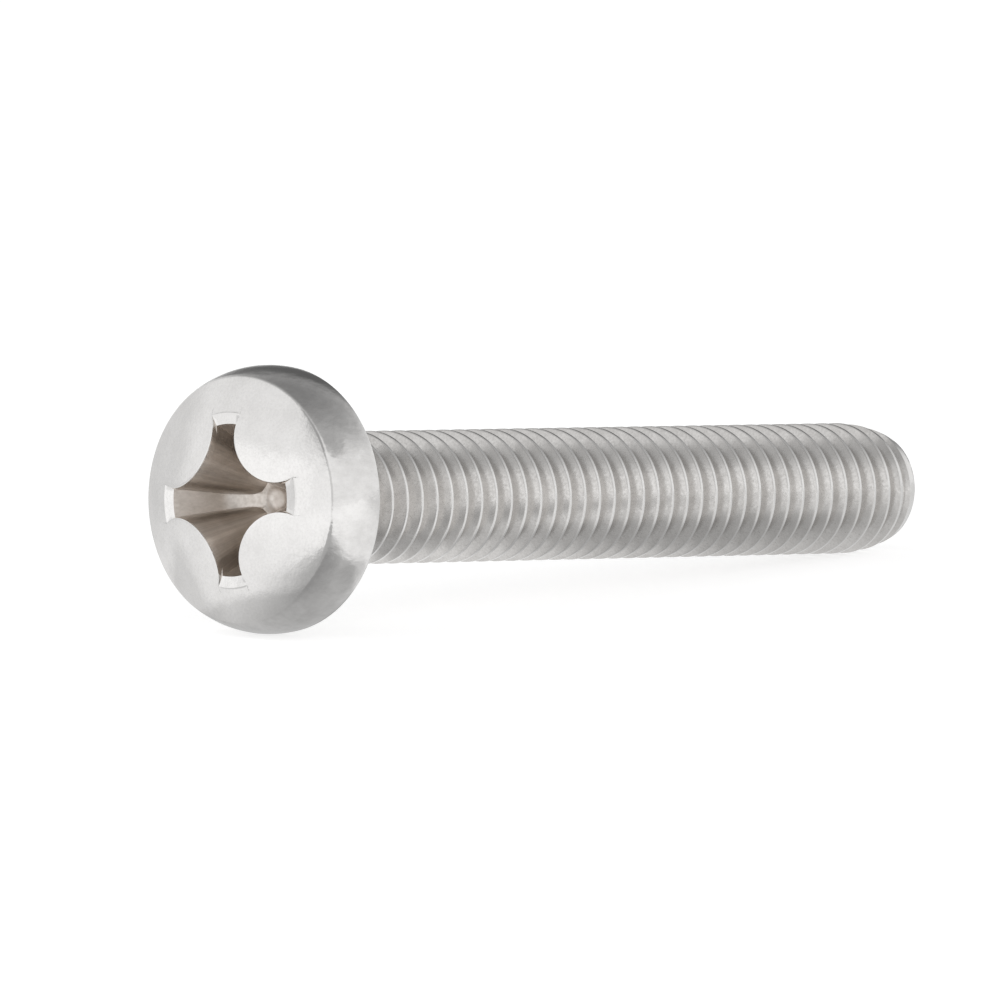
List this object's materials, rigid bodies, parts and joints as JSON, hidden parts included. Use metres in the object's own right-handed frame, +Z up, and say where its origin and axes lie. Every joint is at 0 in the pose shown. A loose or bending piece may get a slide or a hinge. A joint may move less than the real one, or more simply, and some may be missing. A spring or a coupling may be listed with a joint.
{
  "type": "machine screw",
  "caption": "Stainless steel pan head machine screw with a cross recess and a metric thread along the whole shank, lying on its side at rest.",
  "frame": {"origin": "middle of the screw's outline on the table that it lies on", "axes": "+X from the head towards the tip along the screw, +Y across it, +Z up from the table"},
  "size_m": [0.0446, 0.012, 0.012],
  "materials": {
    "stainless_steel": "cold-headed and rolled, barrel-tumbled to a satin grey, brighter on the thread's crests"
  },
  "bodies": {
    "root": {"screw": "stainless_steel"}
  },
  "joints": []
}
